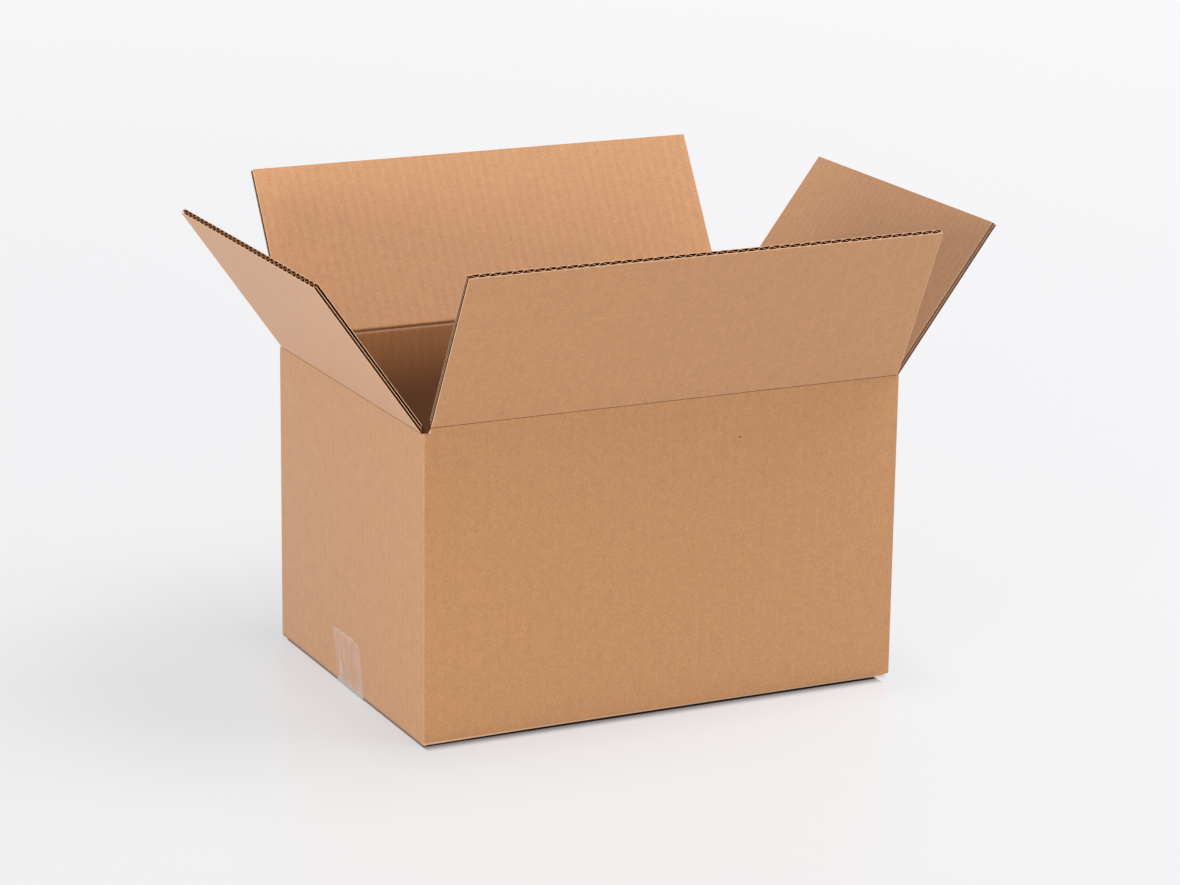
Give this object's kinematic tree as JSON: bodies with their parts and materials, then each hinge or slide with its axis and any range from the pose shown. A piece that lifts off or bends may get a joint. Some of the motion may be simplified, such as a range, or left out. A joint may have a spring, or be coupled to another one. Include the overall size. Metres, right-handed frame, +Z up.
{
  "type": "open cardboard box",
  "caption": "Slotted carton of corrugated kraft board with its top flaps open and its bottom flaps taped shut.",
  "frame": {"origin": "middle of the base, on the floor", "axes": "+X along the front wall to the right, +Y from the front wall to the back wall, +Z up"},
  "size_m": [0.5172, 0.3913, 0.3412],
  "materials": {
    "kraft_board": "matte",
    "kraft_plies": "matte",
    "clear_tape": "gloss"
  },
  "bodies": {
    "box": {"box_body": "kraft_board", "bottom_tape": "clear_tape"},
    "front_flap": {"front_flap": "kraft_plies"},
    "back_flap": {"back_flap": "kraft_plies"},
    "left_flap": {"left_flap": "kraft_plies"},
    "right_flap": {"right_flap": "kraft_plies"}
  },
  "joints": [
    {"name": "front_flap_fold", "type": "hinge", "parent": "box", "child": "front_flap", "pos_m": [0, -0.131, 0.2244], "axis": [1, 0, 0], "range_deg": [-117.9, 144.1]},
    {"name": "back_flap_fold", "type": "hinge", "parent": "box", "child": "back_flap", "pos_m": [0, 0.131, 0.2244], "axis": [-1, 0, 0], "range_deg": [-121.8, 140.2]},
    {"name": "left_flap_fold", "type": "hinge", "parent": "box", "child": "left_flap", "pos_m": [-0.182, 0, 0.2201], "axis": [0, -1, 0], "range_deg": [-125.5, 136.5]},
    {"name": "right_flap_fold", "type": "hinge", "parent": "box", "child": "right_flap", "pos_m": [0.182, 0, 0.2201], "axis": [0, 1, 0], "range_deg": [-126.7, 135.3]}
  ]
}
